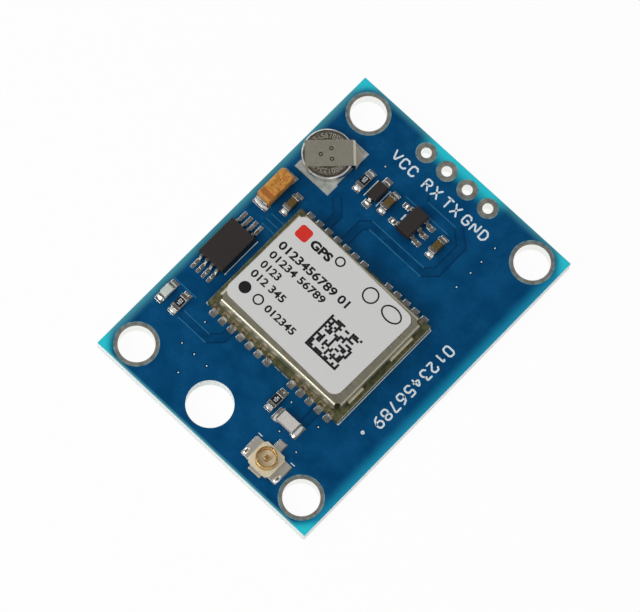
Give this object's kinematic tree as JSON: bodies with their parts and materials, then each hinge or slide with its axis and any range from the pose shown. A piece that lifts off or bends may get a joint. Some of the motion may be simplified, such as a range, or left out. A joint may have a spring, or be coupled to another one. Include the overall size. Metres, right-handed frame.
{
  "type": "gps module",
  "caption": "Small circuit board with a shielded satellite receiver, backup cell, antenna socket, header holes and corner mounting holes.",
  "frame": {"origin": "centre of the board's back face", "axes": "+X to the right along the header row, +Y towards the header edge, +Z out of the component side"},
  "size_m": [0.0254, 0.035, 0.0041],
  "materials": {
    "solder_mask": "gloss",
    "tin": "satin",
    "laminate": "satin",
    "gilt": "satin",
    "sheet_metal": "satin",
    "label_film": "matte",
    "black_moulding": "matte",
    "pale_ceramic": "matte",
    "brown_ceramic": "satin",
    "cell_steel": "polished",
    "strap_steel": "satin",
    "seal": "matte",
    "orange_moulding": "satin",
    "milky_lens": "gloss",
    "grey_ferrite": "satin",
    "beige_moulding": "satin"
  },
  "bodies": {
    "root": {"board": "solder_mask", "hole_plating": "tin", "header_plating": "tin", "via_barrels": "tin", "carrier": "laminate", "edge_contacts": "gilt", "carrier_solder": "tin", "shield_can": "sheet_metal", "can_label": "label_film", "receiver_chip": "black_moulding", "amplifier_chip": "black_moulding", "antenna_filter": "pale_ceramic", "oscillator": "pale_ceramic", "clock_crystal": "pale_ceramic", "inner_passives": "brown_ceramic", "cell_can": "cell_steel", "cell_gasket": "seal", "cell_cap": "cell_steel", "cell_strap": "strap_steel", "cell_base": "strap_steel", "cell_solder": "tin", "tantalum_body": "orange_moulding", "tantalum_terminals": "tin", "capacitor_bodies": "brown_ceramic", "capacitor_ends": "tin", "resistor_bodies": "pale_ceramic", "resistor_films": "black_moulding", "resistor_ends": "tin", "led_base": "pale_ceramic", "led_lens": "milky_lens", "led_ends": "tin", "inductor_body": "grey_ferrite", "inductor_ends": "tin", "memory_body": "black_moulding", "memory_leads": "tin", "regulator_body": "black_moulding", "regulator_leads": "tin", "diode_body": "black_moulding", "diode_leads": "tin", "socket_insulator": "beige_moulding", "socket_shell": "gilt", "socket_contact": "gilt", "chip_solder": "tin", "lead_solder": "tin"}
  },
  "joints": []
}
